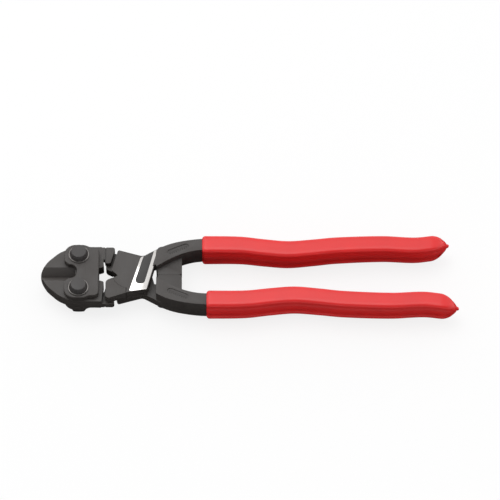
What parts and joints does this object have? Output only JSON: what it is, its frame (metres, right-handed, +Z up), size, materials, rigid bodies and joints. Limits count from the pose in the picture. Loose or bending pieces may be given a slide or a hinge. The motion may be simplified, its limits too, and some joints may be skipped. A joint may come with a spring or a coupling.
{
  "type": "bolt cutters",
  "caption": "Compact lever-action bolt cutters with short blunt jaws between two side plates, linked steel handles and red dipped grips.",
  "frame": {"origin": "bottom centre of the closed tool, which lies flat on the outer faces of the two jaw nuts", "axes": "+X along the tool from the jaws to the grips, +Y towards the upper handle, +Z up out of the side plates"},
  "size_m": [0.1996, 0.0414, 0.018],
  "materials": {
    "forged_black": "black phosphated forged steel",
    "plate_black": "black phosphated, faintly brushed",
    "bolt_black": "black oxide",
    "washer_steel": "dark satin",
    "pin_steel": "ground",
    "grip_red": "dip-moulded soft PVC"
  },
  "bodies": {
    "head": {"front_plate": "plate_black", "back_plate": "plate_black", "upper_jaw_bolt": "bolt_black", "lower_jaw_bolt": "bolt_black", "upper_jaw_nut": "bolt_black", "lower_jaw_nut": "bolt_black", "upper_head_washer": "washer_steel", "lower_head_washer": "washer_steel", "upper_nut_washer": "washer_steel", "lower_nut_washer": "washer_steel"},
    "upper_jaw": {"upper_jaw": "forged_black", "upper_link_pin": "pin_steel"},
    "lower_jaw": {"lower_jaw": "forged_black", "lower_link_pin": "pin_steel"},
    "upper_handle": {"upper_handle": "forged_black", "upper_grip": "grip_red", "handle_pivot_pin": "pin_steel"},
    "lower_handle": {"lower_handle": "forged_black", "lower_grip": "grip_red"}
  },
  "joints": [
    {"name": "upper_jaw_hinge", "type": "hinge", "parent": "head", "child": "upper_jaw", "pos_m": [-0.0819, 0.0093, 0.009], "axis": [0, 0, -1], "range_deg": [0, 10]},
    {"name": "lower_jaw_hinge", "type": "hinge", "parent": "head", "child": "lower_jaw", "pos_m": [-0.0819, -0.0093, 0.009], "axis": [0, 0, 1], "range_deg": [0, 10]},
    {"name": "upper_handle_hinge", "type": "hinge", "parent": "upper_jaw", "child": "upper_handle", "pos_m": [-0.0674, 0.0108, 0.009], "axis": [0, 0, 1], "range_deg": [0, 22.94]},
    {"name": "lower_handle_hinge", "type": "hinge", "parent": "lower_jaw", "child": "lower_handle", "pos_m": [-0.0674, -0.0108, 0.009], "axis": [0, 0, -1], "range_deg": [0, 22.94]}
  ],
  "couplings": [
    {"joint": "lower_jaw_hinge", "follows": "upper_jaw_hinge", "ratio": 1},
    {"joint": "upper_handle_hinge", "follows": "upper_jaw_hinge", "ratio": 2.284},
    {"joint": "lower_handle_hinge", "follows": "upper_jaw_hinge", "ratio": 2.284}
  ]
}
